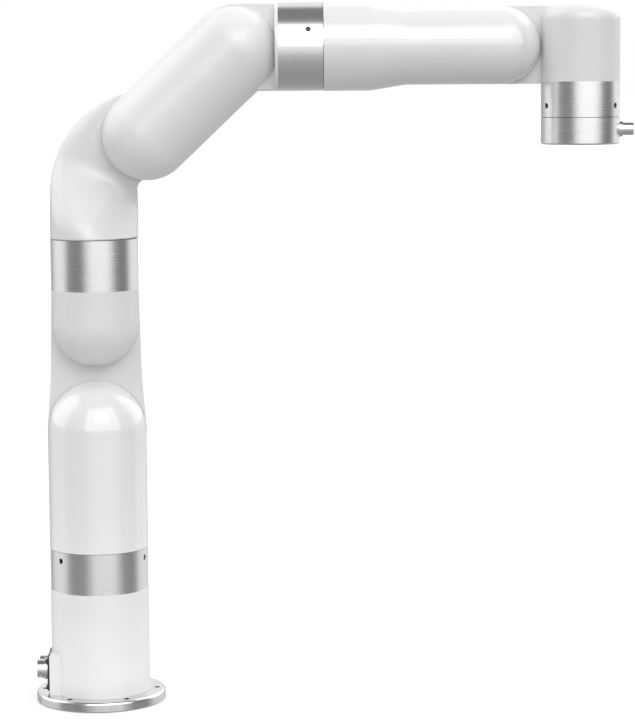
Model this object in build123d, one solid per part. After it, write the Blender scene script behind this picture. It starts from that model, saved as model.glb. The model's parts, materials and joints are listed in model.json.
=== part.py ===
"""Seven-axis collaborative robot arm, millimetres, +Z up, +X along the forearm.

The origin is the centre of the base flange's underside.  Every link is a tube that
ends in a half dome on one side of the arm's middle plane, so that neighbouring links
turn side by side.  Each joint holds a hollow motor, a strain-wave gear and a drive board.
"""
from build123d import *
from math import cos, radians, sin
import os

# --- driving dimensions -------------------------------------------------------------

# heights and offsets of the joint axes
SHOULDER_Z = 267.0
ELBOW_X = 52.5
ELBOW_Z = 553.0
FOREARM_Z = 636.8
WRIST_X = 395.0
TOOL_X = 471.0

# joint seams of the four turning joints, and where their metal rings start
BASE_RING_Z = 111.4
BASE_SEAM_Z = 151.4
ARM_RING_Z = 404.7
ARM_SEAM_Z = 453.6
FOREARM_RING_X = 179.3
FOREARM_SEAM_X = 222.3
WRIST_RING_Z = 601.7
TOOL_SEAM_Z = 567.8
TOOL_FACE_Z = 541.4

# outer radii
FLANGE_R = 63.0
BASE_R = 48.0
BASE_RING_R = 47.56
SHOULDER_R = 48.0
UPPER_ARM_R = 48.3
UPPER_ARM_MID_R = 44.6
TUBE_R = 42.27
CAPSULE_R = 43.5
FOREARM_R = 42.6
WRIST_CAP_R = 37.2
WRIST_R = 37.96

# clearances and walls
SEAM_GAP = 0.5
SIDE_GAP = 0.4
WALL = 4.0
THIN_WALL = 3.5
FLOOR = 4.6
FACE_PLATE = 6.0
SLIP = 0.1
SCREW_SLIP = 0.05

# base
FLANGE_T = 10.0
FLANGE_HOLE_R = 2.75
FLANGE_HOLE_COUNT = 6
FLANGE_PCD_R = 55.0
BASE_WALL = 5.0
BACK_DOME_Z = 154.6
UPPER_ARM_KINK_Z = 318.0
UPPER_ARM_DOME_Z = 372.0
ELBOW_DOME_Z = 480.0
CAPSULE_TOP = (137.5, 633.5)
UPPER_ELBOW_DOME_X = 140.0
UPPER_ELBOW_FRONT_Y = -12.0
UPPER_ELBOW_END_T = 3.0
NECK_X = (268.0, 302.0)
FOREARM_DOME_X = 317.0
WRIST_TOP_Z = 674.8
WRIST_TOP_FILLET = 14.0

# connector panel on the back of the base column
PANEL_FACE_X = -48.7
PANEL_T = 2.0
PANEL_W = 60.0
PANEL_TOP_Z = 50.0
CONNECTOR_Z = 33.0
CONNECTOR_OUT = 10.3
POWER_Y = -13.0
POWER_R = 10.5
NETWORK_Y = 15.0
NETWORK_R = 8.0

# tool flange, a standard 50 mm bolt circle
TOOL_PCD_R = 25.0
TOOL_TAP_R = 2.5
TOOL_TAP_DEPTH = 8.0
TOOL_PILOT_R = 15.75
TOOL_PILOT_DEPTH = 6.0
TOOL_FLOOR_Z = 551.4
TOOL_CONNECTOR_Z = 556.0

# strain-wave drives: depths are measured inwards from the joint's seam
RING_FLANGE_TOP = 0.6
RING_FLANGE_END = 3.0
RING_END = 14.0
RING_RIM = 2.5
RING_BAND = 12.0
HUB_SLIP = 0.4
HUB_END = 2.0
BOARD_T = 1.6
SEAL_DEPTH = 2.0
SEAL_PROUD = 0.2
SEAL_OUT = 1.2
SEAL_IN = 3.5
CABLE_HOLE_R = 10.0

# radial ring screws
SCREW_R = 2.7
SCREW_HOLE_DEPTH = 3.0
SCREW_SUNK = 0.9

BIG = 2000.0

nodes = {}


# --- helpers ------------------------------------------------------------------------

def rod(radius, low, high, x=0.0, y=0.0):
    """A cylinder along Z from low to high."""
    return Pos(x, y, (low + high) / 2) * Cylinder(radius, high - low)


def rod_x(radius, low, high, z, y=0.0):
    """A cylinder along X from low to high."""
    return Pos((low + high) / 2, y, z) * Rot(0, 90, 0) * Cylinder(radius, high - low)


def ball(radius, x, z):
    """A sphere centred in the arm's middle plane."""
    return Pos(x, 0, z) * Sphere(radius)


def taper(bottom_r, top_r, low, high):
    """A cone along Z."""
    return Pos(0, 0, (low + high) / 2) * Cone(bottom_r, top_r, high - low)


def side(shape, sign, gap):
    """Keep what lies beyond y = gap on the side given by sign."""
    return shape & (Pos(0, sign * (gap + BIG / 2), 0) * Box(BIG, BIG, BIG))


def above(shape, z):
    """Keep what lies above z."""
    return shape & (Pos(0, 0, z + BIG / 2) * Box(BIG, BIG, BIG))


def below(shape, z):
    """Keep what lies below z."""
    return shape & (Pos(0, 0, z - BIG / 2) * Box(BIG, BIG, BIG))


def before(shape, x):
    """Keep what lies on the -X side of x."""
    return shape & (Pos(x - BIG / 2, 0, 0) * Box(BIG, BIG, BIG))


def polar(radius, angle):
    """A point on a circle, the angle in degrees from +X."""
    return radius * cos(radians(angle)), radius * sin(radians(angle))


# --- joints -------------------------------------------------------------------------

class Joint:
    """One driven joint: its seam plane points the way the output goes."""

    def __init__(self, name, origin, direction, outer_r, gear_r, motor_r, motor_len, reach):
        self.name = name
        self.place = Plane(origin=origin, z_dir=direction).location
        self.outer_r = outer_r
        self.gear_r = gear_r
        self.motor_r = motor_r
        self.motor_len = motor_len
        self.reach = reach
        self.hub_bore_r = 8.0 if gear_r > 30 else 6.0

    def face_cut(self):
        """Counterbore, bore and seal groove of the housing that carries the gear."""
        counterbore = rod(self.gear_r + RING_RIM + SLIP, -RING_FLANGE_END, 1)
        bore = rod(self.gear_r + SLIP, -RING_END, 0)
        groove = rod(self.outer_r - SEAL_OUT, -SEAL_DEPTH, 1) - rod(self.outer_r - SEAL_IN, -SEAL_DEPTH, 1)
        return self.place * (counterbore + bore + groove)

    def cable_cut(self):
        """Hole for the cables through the floor of the housing that is driven."""
        return self.place * rod(CABLE_HOLE_R, -1, self.reach + FACE_PLATE + 1)

    def add_nodes(self):
        """Motor, gear ring, gear hub, drive board and seal."""
        gear = rod(self.gear_r, -RING_END, -RING_FLANGE_END)
        gear += rod(self.gear_r + RING_RIM, -RING_FLANGE_END, -RING_FLANGE_TOP)
        gear -= rod(self.gear_r - RING_BAND, -RING_END - 1, 1)
        hub = rod(self.gear_r - RING_BAND - HUB_SLIP, -RING_END + HUB_END, self.reach)
        hub -= rod(self.hub_bore_r, -RING_END, self.reach + 1)
        motor_end = RING_END + self.motor_len
        nose_r = self.hub_bore_r - 1.5
        motor = rod(self.motor_r, -motor_end, -RING_END)
        motor += rod(nose_r, -RING_END, -RING_END + 8)
        motor -= rod(nose_r - 2, -motor_end - 1, 1)
        board = rod(self.motor_r - 0.5, -motor_end - BOARD_T, -motor_end)
        board -= rod(nose_r - 1, -motor_end - BOARD_T - 1, 0)
        seal = rod(self.outer_r - SEAL_OUT - SLIP, -SEAL_DEPTH, SEAL_PROUD)
        seal -= rod(self.outer_r - SEAL_IN + SLIP, -SEAL_DEPTH - 1, SEAL_PROUD + 1)
        parts = {"gear_ring": gear, "gear_hub": hub, "motor": motor, "drive_board": board, "seal": seal}
        for part_name, shape in parts.items():
            nodes[self.name + "_" + part_name] = self.place * shape


UP = (0, 0, 1)
BASE_TURN = Joint("base_turn", (0, 0, BASE_SEAM_Z), UP, BASE_RING_R, 38, 32, 40, SEAM_GAP)
SHOULDER = Joint("shoulder", (0, -SIDE_GAP, SHOULDER_Z), (0, 1, 0), SHOULDER_R, 38, 29, 16, 2 * SIDE_GAP)
ARM_ROLL = Joint("arm_roll", (0, 0, ARM_SEAM_Z), UP, TUBE_R, 33, 27, 34, SEAM_GAP)
ELBOW = Joint("elbow", (ELBOW_X, SIDE_GAP, ELBOW_Z), (0, -1, 0), TUBE_R, 33, 23.5, 14, 2 * SIDE_GAP)
FOREARM_ROLL = Joint("forearm_roll", (FOREARM_SEAM_X, 0, FOREARM_Z), (1, 0, 0), TUBE_R, 33, 27, 26, SEAM_GAP)
WRIST = Joint("wrist", (WRIST_X, -SIDE_GAP, FOREARM_Z), (0, 1, 0), WRIST_CAP_R, 28, 18.5, 12, 2 * SIDE_GAP)
TOOL_TURN = Joint("tool_turn", (TOOL_X, 0, TOOL_SEAM_Z), (0, 0, -1), WRIST_R, 29, 23, 26,
                  TOOL_SEAM_Z - TOOL_FLOOR_Z)
JOINTS = [BASE_TURN, SHOULDER, ARM_ROLL, ELBOW, FOREARM_ROLL, WRIST, TOOL_TURN]


def ring_screws(radius, along, angles):
    """Radial screw holes and sunk screws for a ring about Z, at height along."""
    holes = []
    screws = []
    for angle in angles:
        turn = Rot(0, 0, angle)
        bottom = radius - SCREW_HOLE_DEPTH
        holes.append(turn * rod_x(SCREW_R + SCREW_SLIP, bottom, radius + 1, along))
        socket = rod_x(SCREW_R / 2, bottom + 1, radius, along)
        screws.append(turn * (rod_x(SCREW_R, bottom, radius - SCREW_SUNK, along) - socket))
    return holes, Compound(children=screws)


def joint_ring(outer_r, inner_r, low, seam):
    """Metal ring about Z that carries a gear: a tube with a thick face at its seam end."""
    ring = rod(outer_r, min(low, seam), max(low, seam))
    if seam > low:
        return ring - rod(inner_r, low - 1, seam - FACE_PLATE)
    return ring - rod(inner_r, seam + FACE_PLATE, low + 1)


# --- base ---------------------------------------------------------------------------

def make_base():
    flange = fillet(rod(FLANGE_R, 0, FLANGE_T).edges().group_by(Axis.Z)[-1], 3)
    flange = fillet(flange.edges().group_by(Axis.Z)[0], 1)
    for i in range(FLANGE_HOLE_COUNT):
        x, y = polar(FLANGE_PCD_R, -120 + 60 * i)
        flange -= rod(FLANGE_HOLE_R, -1, FLANGE_T + 1, x, y)

    post_h = 6.0
    for angle in (90, 210, 330):
        x, y = polar(24, angle)
        flange += rod(3, FLANGE_T, FLANGE_T + post_h, x, y)
    board_z = FLANGE_T + post_h
    board = rod(32, board_z, board_z + BOARD_T) - rod(6, board_z - 1, board_z + 3)
    board += Pos(0, 16, board_z + BOARD_T + 3) * Box(22, 12, 6)
    nodes["control_board"] = board

    housing = rod(BASE_R, FLANGE_T, BASE_RING_Z)
    boss_depth = 14.0
    boss_h = PANEL_TOP_Z - FLANGE_T
    boss = Pos(PANEL_FACE_X + boss_depth / 2, 0, FLANGE_T + boss_h / 2) * Box(boss_depth, PANEL_W, boss_h)
    boss = chamfer(boss.edges().filter_by(Axis.Y).group_by(Axis.Z)[-1].sort_by(Axis.X)[0], 3)
    boss = fillet(boss.edges().filter_by(Axis.Z).group_by(Axis.X)[0], 3)
    housing += boss
    housing -= rod(BASE_R - BASE_WALL, FLANGE_T - 1, BASE_RING_Z + 1)

    # flange screws come up from below into the column's wall
    head_top = 3.5
    shank_top = FLANGE_T + 8
    screw_pcd = BASE_R - BASE_WALL / 2
    screws = []
    for i in range(FLANGE_HOLE_COUNT):
        x, y = polar(screw_pcd, 30 + 60 * i)
        flange -= rod(3, -1, head_top, x, y)
        flange -= rod(1.5 + SCREW_SLIP, 0, FLANGE_T + 1, x, y)
        housing -= rod(1.5 + SCREW_SLIP, FLANGE_T - 1, shank_top + 0.5, x, y)
        socket = rod(1.25, 0, 2, x, y)
        screws.append(rod(2.9, 0.4, head_top, x, y) + rod(1.5, head_top, shank_top, x, y) - socket)
    nodes["base_flange_screws"] = Compound(children=screws)

    # connector panel with its two round connectors
    panel_low = FLANGE_T + 3
    panel_high = PANEL_TOP_Z - 4
    panel_x = PANEL_FACE_X - PANEL_T
    panel = Pos(PANEL_FACE_X - PANEL_T / 2, 0, (panel_low + panel_high) / 2)
    panel = panel * Box(PANEL_T, PANEL_W - 8, panel_high - panel_low)
    panel = fillet(panel.edges().filter_by(Axis.X), 3)
    thread_in = 12.0
    connectors = (("power_connector", POWER_Y, POWER_R), ("network_connector", NETWORK_Y, NETWORK_R))
    for name, y, radius in connectors:
        thread_r = radius - 3.5
        opening = rod_x(thread_r + SLIP, PANEL_FACE_X - PANEL_T - 1, -30, CONNECTOR_Z, y)
        panel -= opening
        housing -= opening
        body = rod_x(radius, panel_x - 3, panel_x, CONNECTOR_Z, y)
        body += rod_x(radius - 1.2, panel_x - CONNECTOR_OUT, panel_x - 3, CONNECTOR_Z, y)
        body += rod_x(thread_r, panel_x, panel_x + thread_in, CONNECTOR_Z, y)
        body -= rod_x(radius - 3.2, panel_x - CONNECTOR_OUT - 1, panel_x - CONNECTOR_OUT + 5, CONNECTOR_Z, y)
        for pin in range(4):
            dy, dz = polar((radius - 3.2) * 0.55, 45 + 90 * pin)
            body += rod_x(0.8, panel_x - CONNECTOR_OUT + 1, panel_x - 3, CONNECTOR_Z + dz, y + dy)
        nodes[name] = body
    panel_screws = []
    for y in (-22.5, 22.5):
        for z in (panel_low + 3.6, panel_high - 3.6):
            panel -= rod_x(1.25 + SCREW_SLIP, panel_x - 1, PANEL_FACE_X + 1, z, y)
            housing -= rod_x(1.25 + SCREW_SLIP, PANEL_FACE_X - 1, PANEL_FACE_X + 6, z, y)
            screw = rod_x(1.25, panel_x, PANEL_FACE_X + 5.5, z, y) + rod_x(2.3, panel_x - 1.3, panel_x, z, y)
            panel_screws.append(screw)
    nodes["connector_panel"] = panel
    nodes["connector_panel_screws"] = Compound(children=panel_screws)
    nodes["base_flange"] = flange
    nodes["base_housing"] = housing

    ring = joint_ring(BASE_RING_R, BASE_R - BASE_WALL, BASE_RING_Z, BASE_SEAM_Z) - BASE_TURN.face_cut()
    holes, screws = ring_screws(BASE_RING_R, 143.0, (-137.5, -18, 102))
    for hole in holes:
        ring -= hole
    nodes["base_ring"] = ring
    nodes["base_ring_screws"] = screws


# --- links --------------------------------------------------------------------------

def make_shoulder():
    """Link 1: a column whose front half rises to a dome beside the shoulder joint."""
    low = BASE_SEAM_Z + SEAM_GAP

    def body(radius, start, gap):
        front = side(rod(radius, start, SHOULDER_Z) + ball(radius, 0, SHOULDER_Z), -1, gap)
        foot = above(ball(radius, 0, BACK_DOME_Z), BACK_DOME_Z) + rod(radius, low, BACK_DOME_Z)
        return front + above(foot, start)

    shape = body(SHOULDER_R, low, SIDE_GAP)
    shape -= body(SHOULDER_R - WALL, low + FLOOR, SIDE_GAP + FACE_PLATE)
    shape -= SHOULDER.face_cut()
    shape -= BASE_TURN.cable_cut() & rod(SHOULDER_R, 0, low + FLOOR)
    nodes["shoulder_housing"] = shape


def make_upper_arm():
    """Link 2: behind the shoulder at its foot, centred on the arm at its top."""
    def body(shrink, gap, top):
        back = ball(UPPER_ARM_R - shrink, 0, SHOULDER_Z)
        back += taper(UPPER_ARM_R - shrink, UPPER_ARM_MID_R - shrink, SHOULDER_Z, UPPER_ARM_KINK_Z)
        back += taper(UPPER_ARM_MID_R - shrink, TUBE_R - shrink, UPPER_ARM_KINK_Z, ARM_RING_Z)
        dome = below(ball(TUBE_R - shrink, 0, UPPER_ARM_DOME_Z), UPPER_ARM_DOME_Z)
        return side(back, 1, gap) + dome + rod(TUBE_R - shrink, UPPER_ARM_DOME_Z, top)

    shape = body(0, SIDE_GAP, ARM_RING_Z) - body(WALL, SIDE_GAP + FLOOR, ARM_RING_Z + 1)
    shape -= SHOULDER.cable_cut()
    nodes["upper_arm_housing"] = shape
    nodes["upper_arm_ring"] = joint_ring(TUBE_R, TUBE_R - WALL, ARM_RING_Z, ARM_SEAM_Z) - ARM_ROLL.face_cut()


def make_lower_elbow():
    """Link 3: a tube that bends forwards and ends behind the elbow joint."""
    low = ARM_SEAM_Z + SEAM_GAP
    bend_z = ELBOW_Z - ELBOW_X

    def body(radius, start, gap):
        bend_axis = Axis((ELBOW_X, 0, bend_z), (0, 1, 0))
        bend = revolve(Pos(0, 0, bend_z) * Circle(radius), axis=bend_axis, revolution_arc=90)
        back = rod(radius, start, bend_z) + bend + ball(radius, ELBOW_X, ELBOW_Z)
        return side(back, 1, gap) + rod(radius, start, ELBOW_DOME_Z) + ball(radius, 0, ELBOW_DOME_Z)

    outer = above(body(TUBE_R, low, SIDE_GAP), low)
    inner = above(body(TUBE_R - WALL, low + FLOOR, SIDE_GAP + FACE_PLATE), low + FLOOR)
    shape = outer - inner - ELBOW.face_cut()
    shape -= ARM_ROLL.cable_cut() & rod(TUBE_R, 0, low + FLOOR)
    nodes["lower_elbow_housing"] = shape


def make_upper_elbow():
    """Link 4: a capsule in front of the elbow joint, on a level tube that stays behind its rounded end."""
    start = Vector(ELBOW_X, 0, ELBOW_Z)
    end = Vector(CAPSULE_TOP[0], 0, CAPSULE_TOP[1])
    along = end - start

    def body(shrink, gap, end_x):
        capsule_r = CAPSULE_R - shrink
        tube_r = TUBE_R - shrink
        middle = Plane(origin=start + along * 0.5, z_dir=along).location
        capsule = middle * Cylinder(capsule_r, along.length)
        capsule += Pos(start) * Sphere(capsule_r)
        capsule += Pos(end) * Sphere(capsule_r)
        tube = before(ball(tube_r, UPPER_ELBOW_DOME_X, FOREARM_Z), UPPER_ELBOW_DOME_X)
        tube += rod_x(tube_r, UPPER_ELBOW_DOME_X, end_x, FOREARM_Z)
        return before(side(capsule, -1, gap), end_x) + side(tube, 1, UPPER_ELBOW_FRONT_Y + shrink)

    inside_x = FOREARM_RING_X - UPPER_ELBOW_END_T
    shape = body(0, SIDE_GAP, FOREARM_RING_X) + rod_x(TUBE_R, inside_x, FOREARM_RING_X, FOREARM_Z)
    shape -= body(WALL, SIDE_GAP + FLOOR, inside_x)
    shape -= rod_x(CABLE_HOLE_R, inside_x - 1, FOREARM_RING_X + 1, FOREARM_Z)
    shape -= ELBOW.cable_cut()
    nodes["upper_elbow_housing"] = shape

    # the ring is made about Z and laid along X; the screw holes turn with it
    length = FOREARM_SEAM_X - FOREARM_RING_X
    ring = joint_ring(TUBE_R, TUBE_R - WALL, 0, length)
    holes, screws = ring_screws(TUBE_R, 28.7, (-112, 8, 128))
    for hole in holes:
        ring -= hole
    lay = Plane(origin=(FOREARM_RING_X, 0, FOREARM_Z), x_dir=(0, 0, -1), z_dir=(1, 0, 0)).location
    nodes["upper_elbow_ring"] = lay * ring - FOREARM_ROLL.face_cut()
    nodes["upper_elbow_ring_screws"] = lay * screws


def make_forearm():
    """Link 5: a tube that narrows to a capsule in front of the wrist joint."""
    start = FOREARM_SEAM_X + SEAM_GAP
    neck_start, neck_end = NECK_X

    def body(shrink, cap_shrink, low, gap):
        wide_r = FOREARM_R - shrink
        cap_r = WRIST_CAP_R - cap_shrink
        cone = Pos((neck_start + neck_end) / 2, 0, FOREARM_Z) * Rot(0, 90, 0)
        cone = cone * Cone(wide_r, cap_r, neck_end - neck_start)
        tube = rod_x(wide_r, low, neck_start, FOREARM_Z) + cone
        tube += rod_x(cap_r, neck_end, FOREARM_DOME_X, FOREARM_Z) + ball(cap_r, FOREARM_DOME_X, FOREARM_Z)
        cap = rod_x(cap_r, neck_end, WRIST_X, FOREARM_Z) + ball(cap_r, WRIST_X, FOREARM_Z)
        return tube + side(cap, -1, gap)

    shape = body(0, 0, start, SIDE_GAP)
    shape -= body(WALL, THIN_WALL, start + FLOOR, SIDE_GAP + FACE_PLATE)
    shape -= WRIST.face_cut()
    shape -= FOREARM_ROLL.cable_cut()
    nodes["forearm_housing"] = shape


def make_wrist():
    """Link 6: a half tube behind the wrist joint, and the upright tool housing."""
    def body(shrink, cap_shrink, gap, low):
        radius = WRIST_R - shrink
        upright = rod(radius, low, WRIST_TOP_Z - shrink, TOOL_X)
        upright = fillet(upright.edges().group_by(Axis.Z)[-1], WRIST_TOP_FILLET - shrink)
        cap_r = WRIST_CAP_R - cap_shrink
        arm = rod_x(cap_r, WRIST_X, TOOL_X, FOREARM_Z) + ball(cap_r, WRIST_X, FOREARM_Z)
        return upright + side(arm, 1, gap)

    shape = body(0, 0, SIDE_GAP, WRIST_RING_Z)
    shape -= body(WALL, THIN_WALL, SIDE_GAP + FLOOR, WRIST_RING_Z - 1)
    shape -= WRIST.cable_cut()
    shape -= rod(WRIST_R + SLIP, TOOL_SEAM_Z, WRIST_RING_Z, TOOL_X)
    nodes["wrist_housing"] = shape

    ring = joint_ring(WRIST_R, WRIST_R - WALL, WRIST_RING_Z, TOOL_SEAM_Z)
    holes, screws = ring_screws(WRIST_R, 578.5, (-155, -35, 85))
    for hole in holes:
        ring -= hole
    nodes["wrist_ring"] = Pos(TOOL_X, 0, 0) * ring - TOOL_TURN.face_cut()
    nodes["wrist_ring_screws"] = Pos(TOOL_X, 0, 0) * screws


def make_tool_flange():
    """Link 7: the turning flange with its bolt circle, pilot bore and tool connector."""
    top = TOOL_SEAM_Z - SEAM_GAP
    flange = chamfer(rod(WRIST_R, TOOL_FACE_Z, top).edges().group_by(Axis.Z)[0], 1.5)
    flange -= rod(WRIST_R - 5, TOOL_FLOOR_Z, top + 1)
    flange -= rod(TOOL_PILOT_R, TOOL_FACE_Z - 1, TOOL_FACE_Z + TOOL_PILOT_DEPTH)
    for i in range(4):
        x, y = polar(TOOL_PCD_R, 45 + 90 * i)
        flange -= rod(TOOL_TAP_R, TOOL_FACE_Z - 1, TOOL_FACE_Z + TOOL_TAP_DEPTH, x, y)
    flange -= rod(3, TOOL_FACE_Z - 1, TOOL_FACE_Z + 6, 0, -TOOL_PCD_R)

    seat_x = WRIST_R - 0.8
    flange -= rod_x(8, seat_x, WRIST_R + 2, TOOL_CONNECTOR_Z)
    passage = rod_x(4.5 + SLIP, 20, WRIST_R + 1, TOOL_CONNECTOR_Z)
    flange -= passage & above(rod(WRIST_R + 1, 0, top), TOOL_FLOOR_Z)
    connector = rod_x(7.8, seat_x, seat_x + 3.4, TOOL_CONNECTOR_Z)
    connector += rod_x(6.4, seat_x + 3.4, seat_x + 14, TOOL_CONNECTOR_Z)
    connector += rod_x(4.4, seat_x - 6.2, seat_x, TOOL_CONNECTOR_Z)
    connector -= rod_x(4.8, seat_x + 8, seat_x + 15, TOOL_CONNECTOR_Z)
    for pin in range(4):
        dy, dz = polar(2.2, 45 + 90 * pin)
        connector += rod_x(0.6, seat_x + 7, seat_x + 13, TOOL_CONNECTOR_Z + dz, dy)

    place = Pos(TOOL_X, 0, 0)
    nodes["tool_flange"] = place * flange
    nodes["tool_connector"] = place * connector
    board = rod(WRIST_R - 12, TOOL_FLOOR_Z, TOOL_FLOOR_Z + BOARD_T)
    board -= rod(18, TOOL_FLOOR_Z - 1, TOOL_FLOOR_Z + 3)
    nodes["tool_board"] = place * board


make_base()
make_shoulder()
make_upper_arm()
make_lower_elbow()
make_upper_elbow()
make_forearm()
make_wrist()
make_tool_flange()
for joint in JOINTS:
    joint.add_nodes()

os.makedirs("parts", exist_ok=True)
for node_name, node_shape in nodes.items():
    export_step(node_shape, "parts/" + node_name + ".step")
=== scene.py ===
"""Collaborative robot arm: finishes, a smooth skin for link 3 and a plain studio, in metres."""
import json
from math import cos, pi, radians, sin

import bmesh
import bpy
from mathutils import Matrix, Vector


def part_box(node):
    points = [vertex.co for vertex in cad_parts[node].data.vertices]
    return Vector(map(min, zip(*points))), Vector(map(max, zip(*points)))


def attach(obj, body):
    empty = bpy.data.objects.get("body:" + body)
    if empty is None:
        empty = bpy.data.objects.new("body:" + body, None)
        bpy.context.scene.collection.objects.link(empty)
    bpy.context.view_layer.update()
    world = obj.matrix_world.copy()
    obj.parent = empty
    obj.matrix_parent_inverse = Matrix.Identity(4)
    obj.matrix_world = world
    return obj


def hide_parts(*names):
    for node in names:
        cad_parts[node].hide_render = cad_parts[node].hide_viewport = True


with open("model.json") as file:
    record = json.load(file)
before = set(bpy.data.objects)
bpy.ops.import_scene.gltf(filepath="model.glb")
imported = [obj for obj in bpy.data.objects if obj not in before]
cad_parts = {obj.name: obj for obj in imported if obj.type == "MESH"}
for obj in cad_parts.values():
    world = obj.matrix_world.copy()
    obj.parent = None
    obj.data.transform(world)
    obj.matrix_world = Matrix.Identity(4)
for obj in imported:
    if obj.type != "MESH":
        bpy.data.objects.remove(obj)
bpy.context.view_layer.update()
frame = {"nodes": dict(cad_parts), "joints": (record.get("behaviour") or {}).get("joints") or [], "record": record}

NODES = frame["nodes"]
MM = 0.001


# --- material helpers ---------------------------------------------------------------

class Shade:
    """A small builder for one node material."""

    def __init__(self, name):
        self.material = bpy.data.materials.new(name)
        self.material.use_nodes = True
        self.tree = self.material.node_tree
        self.shader = self.tree.nodes["Principled BSDF"]

    def set(self, **values):
        """Set the shader's inputs by name, with an underscore for each space."""
        for key, value in values.items():
            self.shader.inputs[key.replace("_", " ")].default_value = value

    def add(self, kind, **values):
        node = self.tree.nodes.new(kind)
        for key, value in values.items():
            setattr(node, key, value)
        return node

    def link(self, source, target):
        self.tree.links.new(source, target)

    def feed(self, name, source):
        """Link an output to the shader's input of that name."""
        self.link(source, self.shader.inputs[name])

    def coords(self, scale):
        """Object coordinates in metres, scaled by one number or by one for each axis."""
        where = self.add("ShaderNodeTexCoord")
        mapping = self.add("ShaderNodeMapping")
        mapping.inputs["Scale"].default_value = scale if isinstance(scale, tuple) else (scale,) * 3
        self.link(where.outputs["Object"], mapping.inputs["Vector"])
        return mapping.outputs["Vector"]

    def noise(self, scale, detail, rough=0.55):
        node = self.add("ShaderNodeTexNoise")
        node.inputs["Scale"].default_value = 1.0
        node.inputs["Detail"].default_value = detail
        node.inputs["Roughness"].default_value = rough
        self.link(self.coords(scale), node.inputs["Vector"])
        return node.outputs["Fac"]

    def ramp(self, source, low, high, start=0.3, end=0.7):
        """A colour or grey ramp; low and high are colours or single numbers."""
        node = self.add("ShaderNodeValToRGB")
        for element, place, value in zip(node.color_ramp.elements, (start, end), (low, high)):
            element.position = place
            element.color = value if isinstance(value, tuple) else grey(value)
        self.link(source, node.inputs["Fac"])
        return node.outputs["Color"]

    def spread(self, source, value, low, high):
        """A grey ramp from value times low to value times high."""
        return self.ramp(source, value * low, value * high)

    def bump(self, source, depth):
        """Raise and sink the surface by a pattern, with its depth in metres."""
        node = self.add("ShaderNodeBump")
        node.inputs["Strength"].default_value = 1.0
        node.inputs["Distance"].default_value = depth
        self.link(source, node.inputs["Height"])
        self.feed("Normal", node.outputs["Normal"])


def grey(level):
    return (level, level, level, 1.0)


# --- materials ----------------------------------------------------------------------

# pattern scales are in features per metre, and depths in metres
CLOUD_SCALE = 14
SHEEN_SCALE = 60
PEEL_SCALE = 900
COAT_ROUGH = 0.03
COAT_IOR = 1.75
PAINT_SPECULAR = 0.3

LINE_SCALE = 5200.0
LINE_LENGTH_SCALE = 30.0
LINE_DEPTH = 0.012 * MM

LATHE_SCALE = 420
LATHE_WOBBLE = 0.6
LATHE_DEPTH = 0.008 * MM
WEAR_SCALE = 90

GRAIN_SCALE = 700
GRAIN_DEPTH = 0.02 * MM
SMUDGE_SCALE = 150

TRACK_SCALE = 380
TRACK_DEPTH = 0.03 * MM
TRACK_GREEN = (0.05, 0.22, 0.10, 1)
MASK_GREENS = ((0.012, 0.10, 0.045, 1), (0.016, 0.13, 0.06, 1))
MASK_ROUGH = 0.35


def paint(name, level, rough, coat, peel):
    """White lacquer: faint clouds, orange peel of the given depth and a clear coat."""
    s = Shade(name)
    s.set(Roughness=rough, Specular_IOR_Level=PAINT_SPECULAR)
    s.set(Coat_Weight=coat, Coat_Roughness=COAT_ROUGH, Coat_IOR=COAT_IOR)
    s.feed("Base Color", s.spread(s.noise(CLOUD_SCALE, detail=2.0), level, 0.975, 1.015))
    s.feed("Roughness", s.spread(s.noise(SHEEN_SCALE, detail=2.0), rough, 0.92, 1.08))
    s.bump(s.noise(PEEL_SCALE, detail=2.0), peel)
    return s.material


def brushed(name, level, rough, axis):
    """Metal turned round one axis: fine lines that circle the axis."""
    s = Shade(name)
    s.set(Metallic=1.0)
    scale = [LINE_LENGTH_SCALE] * 3
    scale[axis] = LINE_SCALE
    lines = s.noise(tuple(scale), detail=4.0, rough=0.7)
    s.feed("Base Color", s.spread(lines, level, 0.93, 1.04))
    s.feed("Roughness", s.spread(lines, rough, 0.85, 1.2))
    s.bump(lines, LINE_DEPTH)
    return s.material


def turned_face(name, level, rough):
    """Metal with lathe rings about Z and a little wear."""
    s = Shade(name)
    s.set(Metallic=1.0)
    rings = s.add("ShaderNodeTexWave", wave_type="RINGS", rings_direction="Z")
    rings.inputs["Scale"].default_value = 1.0
    rings.inputs["Distortion"].default_value = LATHE_WOBBLE
    s.link(s.coords((LATHE_SCALE, LATHE_SCALE, 0)), rings.inputs["Vector"])
    wear = s.noise(WEAR_SCALE, detail=5.0, rough=0.65)
    s.feed("Base Color", s.spread(wear, level, 0.92, 1.05))
    s.feed("Roughness", s.spread(wear, rough, 0.8, 1.25))
    s.bump(rings.outputs["Fac"], LATHE_DEPTH)
    return s.material


def plain(name, colour, rough, metal=0.0, scale=GRAIN_SCALE, depth=GRAIN_DEPTH, vary=0.12):
    """A finish with fine grain, used for the small parts."""
    s = Shade(name)
    s.set(Metallic=metal)
    dark = tuple(c * (1 - vary) for c in colour) + (1.0,)
    light = tuple(min(1.0, c * (1 + vary)) for c in colour) + (1.0,)
    grains = s.noise(scale, detail=4.0, rough=0.6)
    s.feed("Base Color", s.ramp(grains, dark, light))
    s.feed("Roughness", s.spread(s.noise(SMUDGE_SCALE, detail=3.0), rough, 0.85, 1.15))
    s.bump(grains, depth)
    return s.material


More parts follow.
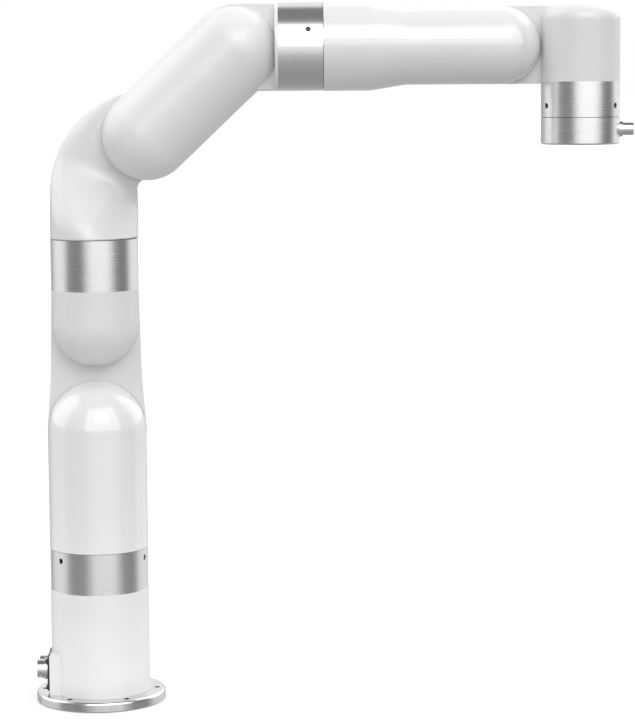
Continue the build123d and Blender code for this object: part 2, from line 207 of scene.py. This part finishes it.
def circuit(name):
    """Green solder mask in two shades with lighter copper tracks."""
    s = Shade(name)
    s.set(Roughness=MASK_ROUGH)
    tracks = s.add("ShaderNodeTexBrick")
    tracks.inputs["Scale"].default_value = 1.0
    tracks.inputs["Color1"].default_value = MASK_GREENS[0]
    tracks.inputs["Color2"].default_value = MASK_GREENS[1]
    tracks.inputs["Mortar"].default_value = TRACK_GREEN
    s.link(s.coords(TRACK_SCALE), tracks.inputs["Vector"])
    s.feed("Base Color", tracks.outputs["Color"])
    s.bump(tracks.outputs["Fac"], TRACK_DEPTH)
    return s.material


GLOSS = paint("gloss_white_paint", level=0.80, rough=0.36, coat=0.9, peel=0.002 * MM)
SOFT = paint("soft_white_paint", level=0.80, rough=0.30, coat=0.25, peel=0.004 * MM)
SATIN = paint("satin_white_paint", level=0.76, rough=0.38, coat=0.30, peel=0.008 * MM)
RING_Z = brushed("ring_turned_about_z", level=0.80, rough=0.26, axis=2)
RING_X = brushed("ring_turned_about_x", level=0.80, rough=0.22, axis=0)
FLANGE = turned_face("polished_flange", level=0.72, rough=0.16)
CHROME = plain("connector_nickel", (0.74, 0.74, 0.75), rough=0.14,
               metal=1.0, scale=200, depth=0.004 * MM, vary=0.04)
PANEL = plain("panel_black", (0.022, 0.022, 0.024), rough=0.45)
SCREW = plain("screw_black_steel", (0.045, 0.045, 0.048), rough=0.32, metal=1.0)
RUBBER = plain("seal_rubber", (0.20, 0.20, 0.20), rough=0.7)
MOTOR = plain("motor_black", (0.03, 0.03, 0.033), rough=0.4, metal=0.4)
GEAR = plain("gear_ground_steel", (0.5, 0.5, 0.51), rough=0.3, metal=1.0, scale=500, depth=0.01 * MM)
BOARD = circuit("circuit_board")

BY_SLOT = {
    "flange_metal": FLANGE,
    "brushed_ring": RING_Z,
    "white_paint": SATIN,
    "gloss_white": GLOSS,
    "panel_plastic": PANEL,
    "connector_chrome": CHROME,
    "screw_steel": SCREW,
    "circuit_board": BOARD,
    "motor_metal": MOTOR,
    "gear_steel": GEAR,
    "seal_rubber": RUBBER,
}
# nodes that differ from the rest of their slot
BY_NODE = {"upper_elbow_ring": RING_X, "tool_flange": RING_Z, "upper_elbow_housing": SOFT}


def dress_nodes():
    """Give every CAD node its own material or that of its slot."""
    for part in frame["record"]["subparts"]:
        node = NODES[part["node"]]
        material = BY_NODE.get(part["node"], BY_SLOT[part["material_slot"]])
        node.data.materials.clear()
        node.data.materials.append(material)


# --- camera -------------------------------------------------------------------------

LENS_MM = 127.95
SENSOR_MM = 36.0
CAMERA_PLACE = (0.16961, -2.4783, 0.61141)
CAMERA_FAR = 200.0
# how far the camera is turned from looking level along +Y, in radians
CAMERA_DOWN = 0.1117
CAMERA_RIGHT = 0.0185
CAMERA_ROLL = -0.0069


def make_camera():
    data = bpy.data.cameras.new("camera")
    data.sensor_width = SENSOR_MM
    data.lens = LENS_MM
    data.clip_end = CAMERA_FAR
    camera = bpy.data.objects.new("camera", data)
    bpy.context.scene.collection.objects.link(camera)
    turned = Matrix.Rotation(-CAMERA_RIGHT, 3, "Z") @ Matrix.Rotation(pi / 2 - CAMERA_DOWN, 3, "X")
    camera.rotation_euler = (turned @ Matrix.Rotation(CAMERA_ROLL, 3, "Z")).to_euler()
    camera.location = CAMERA_PLACE
    bpy.context.scene.camera = camera


# --- surroundings -------------------------------------------------------------------

# the walls' brightness in reflections, by degrees from the front, positive to the right
WALLS = ((-180, 0.45), (-140, 0.45), (-122, 0.90), (-86, 0.90), (-68, 0.22), (-30, 0.16), (-6, 0.88),
         (38, 0.92), (62, 0.18), (94, 0.16), (114, 0.92), (154, 0.90), (170, 0.45), (180, 0.45))
# the windows' edges in degrees, as heights for all of them and as angles for the front one:
# fully lit between the inner two, and not at all past the outer two. Windows are WINDOW_LEVEL
# times as bright as their wall, and the front one has that level itself.
WINDOW_UP = (3, 5, 53, 57)
FRONT_WINDOW = (-27, -24, 58, 62)
WINDOW_LEVEL = 2.2

# by height, from 0 straight down to 1 straight up: how much of a reflection is ceiling or
# ground, the ground's brightness, and the brightness of the soft light
CEILING = ((0.0, 0.0), (0.93, 0.0), (0.955, 1.0), (1.0, 1.0))
GROUND = ((0.0, 1.0), (0.30, 1.0), (0.42, 0.0), (1.0, 0.0))
GROUND_LEVEL = ((0.0, 0.34), (0.15, 0.42), (0.42, 0.68), (1.0, 0.68))
SOFT_LIGHT = ((0.0, 0.40), (0.35, 0.55), (0.5, 0.96), (0.75, 1.14), (1.0, 1.26))
CEILING_LEVEL = 0.22
BACKDROP_LEVEL = 1.0


class Sky:
    """Node helpers for the studio's surroundings."""

    # a mix node's sockets when it mixes colours
    FACTOR, COLOUR_A, COLOUR_B, RESULT = 0, 6, 7, 2

    def __init__(self, tree):
        self.tree = tree

    def math(self, kind, *values):
        """A math node whose inputs are numbers or outputs of other nodes."""
        node = self.tree.nodes.new("ShaderNodeMath")
        node.operation = kind
        for socket, value in zip(node.inputs, values):
            if isinstance(value, (int, float)):
                socket.default_value = value
            else:
                self.tree.links.new(value, socket)
        return node.outputs[0]

    def ramp(self, source, stops):
        """A grey ramp through (place, level) stops."""
        node = self.tree.nodes.new("ShaderNodeValToRGB")
        elements = node.color_ramp.elements
        while len(elements) < len(stops):
            elements.new(0.5)
        for element, (place, level) in zip(elements, stops):
            element.position = place
            element.color = grey(level)
        self.tree.links.new(source, node.inputs["Fac"])
        return node.outputs["Color"]

    def band(self, source, edges):
        """A ramp that rises to 1 between the first two edges and falls between the last two."""
        return self.ramp(source, list(zip(edges, (0.0, 1.0, 1.0, 0.0))))

    def mix(self, factor, a, b):
        """Colour a where the factor is 0 and b where it is 1."""
        node = self.tree.nodes.new("ShaderNodeMix")
        node.data_type = "RGBA"
        for place, value in ((self.FACTOR, factor), (self.COLOUR_A, a), (self.COLOUR_B, b)):
            if isinstance(value, tuple):
                node.inputs[place].default_value = value
            else:
                self.tree.links.new(value, node.inputs[place])
        return node.outputs[self.RESULT]


def across(degrees):
    """A compass angle's place on the turn ramps."""
    return degrees / 360 + 0.5


def up(degrees):
    """An angle of elevation's place on the height ramps."""
    return sin(radians(degrees)) / 2 + 0.5


def make_world():
    """White for the camera, walls with windows for reflections, and a smooth sky for soft light."""
    world = bpy.data.worlds.new("studio")
    bpy.context.scene.world = world
    world.use_nodes = True
    sky = Sky(world.node_tree)
    new = world.node_tree.nodes.new
    link = world.node_tree.links.new
    where = new("ShaderNodeTexCoord")
    split = new("ShaderNodeSeparateXYZ")
    link(where.outputs["Generated"], split.inputs[0])
    angle = sky.math("ARCTAN2", split.outputs["X"], sky.math("MULTIPLY", split.outputs["Y"], -1))
    turn = sky.math("ADD", sky.math("DIVIDE", angle, 2 * pi), 0.5)
    height = sky.math("MULTIPLY_ADD", split.outputs["Z"], 0.5, 0.5)

    walls = sky.ramp(turn, [(across(degrees), level) for degrees, level in WALLS])
    lit = sky.band(height, [up(degrees) for degrees in WINDOW_UP])
    front = sky.band(turn, [across(degrees) for degrees in FRONT_WINDOW])
    seen = sky.mix(lit, walls, sky.math("MULTIPLY", walls, WINDOW_LEVEL))
    seen = sky.mix(sky.math("MULTIPLY", lit, front), seen, grey(WINDOW_LEVEL))
    seen = sky.mix(sky.ramp(height, CEILING), seen, grey(CEILING_LEVEL))
    seen = sky.mix(sky.ramp(height, GROUND), seen, sky.ramp(height, GROUND_LEVEL))

    path = new("ShaderNodeLightPath")
    result = sky.mix(path.outputs["Is Glossy Ray"], sky.ramp(height, SOFT_LIGHT), seen)
    result = sky.mix(path.outputs["Is Camera Ray"], result, grey(BACKDROP_LEVEL))
    link(result, world.node_tree.nodes["Background"].inputs["Color"])


# --- key light and floor ------------------------------------------------------------

KEY_PLACE = Vector((0.9, -3.0, 2.6))
KEY_AIM = Vector((0.15, 0.0, 0.4))
KEY_WIDTH = 2.0
KEY_HEIGHT = 1.6
KEY_WATTS = 26

FLOOR_RADIUS = 60.0
FLOOR_SIDES = 96
FLOOR_DROP = 0.2 * MM
FLOOR_GREY = 0.80
FLOOR_ROUGH = 0.75
FLOOR_GLOW = 0.16

# the floor's glow for all but camera rays, painted light that stands in for light bounced off the floor: its level
# inside and outside a painted pool of light round the base, and the pool's edge in metres
POOL_LEVEL = 1.2
FAR_LEVEL = 0.32
POOL_EDGE = (0.12, 0.62)


def make_key_light():
    data = bpy.data.lights.new("key", "AREA")
    data.shape = "RECTANGLE"
    data.size = KEY_WIDTH
    data.size_y = KEY_HEIGHT
    data.energy = KEY_WATTS
    light = bpy.data.objects.new("key", data)
    light.location = KEY_PLACE
    light.rotation_euler = (KEY_AIM - KEY_PLACE).to_track_quat("-Z", "Y").to_euler()
    bpy.context.scene.collection.objects.link(light)


def floor_material():
    """The camera sees a pale floor; for all other rays the floor glows, a painted pool of light round the base
    that lights the arm.
    """
    s = Shade("pale_floor")
    s.set(Base_Color=grey(FLOOR_GREY), Roughness=FLOOR_ROUGH)
    s.set(Emission_Color=grey(1.0), Emission_Strength=FLOOR_GLOW)
    reach = s.add("ShaderNodeVectorMath", operation="LENGTH")
    s.link(s.coords(1), reach.inputs[0])
    # painted light: the floor glows, brightest in a pool round the base, for every ray but the camera's
    pool = s.add("ShaderNodeEmission")
    level = s.ramp(reach.outputs["Value"], POOL_LEVEL, FAR_LEVEL, *POOL_EDGE)
    s.link(level, pool.inputs["Color"])
    path = s.add("ShaderNodeLightPath")
    mix = s.add("ShaderNodeMixShader")
    s.link(path.outputs["Is Camera Ray"], mix.inputs[0])
    s.link(pool.outputs[0], mix.inputs[1])
    s.link(s.shader.outputs[0], mix.inputs[2])
    s.link(mix.outputs[0], s.tree.nodes["Material Output"].inputs["Surface"])
    return s.material


def make_floor():
    """A wide round floor just under the base, left out of reflections."""
    data = bpy.data.meshes.new("floor")
    shape = bmesh.new()
    bmesh.ops.create_circle(shape, cap_ends=True, radius=FLOOR_RADIUS, segments=FLOOR_SIDES)
    shape.to_mesh(data)
    shape.free()
    data.materials.append(floor_material())
    floor = bpy.data.objects.new("floor", data)
    floor.location.z = -FLOOR_DROP
    floor.visible_glossy = False
    bpy.context.scene.collection.objects.link(floor)


def make_studio():
    make_camera()
    make_world()
    make_key_light()
    make_floor()
    bpy.context.scene.view_settings.view_transform = "Standard"


# --- link 3's skin ------------------------------------------------------------------

# points in each ring of the skin, and rings along each of its stretches
AROUND = 168
TUBE_RINGS = 30
BEND_RINGS = 44
DOME_RINGS = 26

MERGE_DISTANCE = 0.001 * MM
# from the arm's middle plane to the flat side of a link
SIDE_GAP = 0.4 * MM
# where link 4's straight stretch, which starts at the elbow joint, ends when the joint is at
# either end of its travel, as (x, z) from the joint
SWEPT_ENDS = (Vector((-108, 44)) * MM, Vector((87, -78)) * MM)
# how far from those two stretches the front stays flat, and over what width it then rises
FLAT_REACH = 45 * MM
RISE = 70 * MM
# how far an oval's edges stand behind the middle of its front: at the elbow joint's dome,
# and how much more further out, over what width
EDGE_BACK = 1.5 * MM
EDGE_MORE = 19.5 * MM
EDGE_WIDTH = 30 * MM


def joint_place(name):
    """A joint's axis in the arm's middle plane, as (x, z) in metres."""
    for joint in frame["joints"]:
        if joint["name"] == name:
            return Vector((joint["pos_m"][0], joint["pos_m"][2]))
    raise ValueError(name)


def ease(t):
    """0 to 1 with level ends."""
    t = min(1.0, max(0.0, t))
    return t * t * (3 - 2 * t)


def distance_to_line(point, start, end):
    """How far a point is from the line between two points."""
    along = end - start
    t = min(1.0, max(0.0, (point - start).dot(along) / along.length_squared))
    return (point - start - along * t).length


def skin(name, rings, body, material, *stands_for):
    """A closed smooth surface through rings of points, riding on a body."""
    mesh = bmesh.new()
    verts = [[mesh.verts.new(p) for p in ring] for ring in rings]
    for low, high in zip(verts, verts[1:]):
        for i in range(AROUND):
            j = (i + 1) % AROUND
            mesh.faces.new((low[i], low[j], high[j], high[i]))
    mesh.faces.new(reversed(verts[0]))
    mesh.faces.new(verts[-1])
    bmesh.ops.remove_doubles(mesh, verts=mesh.verts, dist=MERGE_DISTANCE)
    bmesh.ops.recalc_face_normals(mesh, faces=mesh.faces)
    for face in mesh.faces:
        face.smooth = len(face.verts) <= 4
    data = bpy.data.meshes.new(name)
    mesh.to_mesh(data)
    mesh.free()
    data.materials.append(material)
    piece = bpy.data.objects.new(name, data)
    bpy.context.scene.collection.objects.link(piece)
    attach(piece, body)
    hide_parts(*stands_for)


def lower_elbow_ring(centre, across_way, wide, elbow, radius):
    """A circle away from link 4's path, and beside it an oval behind the arm's middle plane."""
    ring = []
    for i in range(AROUND):
        a = 2 * pi * i / AROUND
        place = centre + across_way * wide * cos(a)
        gap = min(distance_to_line(place, elbow, elbow + end) for end in SWEPT_ENDS) - FLAT_REACH
        roundness = ease(gap / RISE)
        beyond = ease(((place - elbow).length - radius) / EDGE_WIDTH)
        middle = min(SIDE_GAP + EDGE_BACK + EDGE_MORE * beyond, wide / 2)
        depth = middle - SIDE_GAP if sin(a) < 0 else wide - middle
        oval_y = middle + depth * sin(a)
        round_y = wide * sin(a)
        ring.append(Vector((place.x, oval_y + (round_y - oval_y) * roundness, place.y)))
    return ring


def make_lower_elbow():
    """Link 3: a tube, a bend and a dome whose front falls back to pass behind link 4."""
    low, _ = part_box("lower_elbow_housing")
    radius = -low.x
    elbow = joint_place("elbow")
    bend_z = elbow.y - elbow.x
    sections = []
    for i in range(TUBE_RINGS):
        z = low.z + (bend_z - low.z) * i / TUBE_RINGS
        sections.append((Vector((0, z)), Vector((-1, 0)), radius))
    for i in range(BEND_RINGS + 1):
        a = (pi / 2) * i / BEND_RINGS
        centre = Vector((elbow.x * (1 - cos(a)), bend_z + elbow.x * sin(a)))
        sections.append((centre, Vector((-cos(a), sin(a))), radius))
    for i in range(1, DOME_RINGS):
        a = (pi / 2) * i / DOME_RINGS
        sections.append((elbow + Vector((radius * sin(a), 0)), Vector((0, 1)), radius * cos(a)))
    rings = [lower_elbow_ring(*section, elbow, radius) for section in sections]
    skin("lower_elbow_skin", rings, "lower_elbow", SATIN, "lower_elbow_housing")


make_studio()
dress_nodes()
make_lower_elbow()
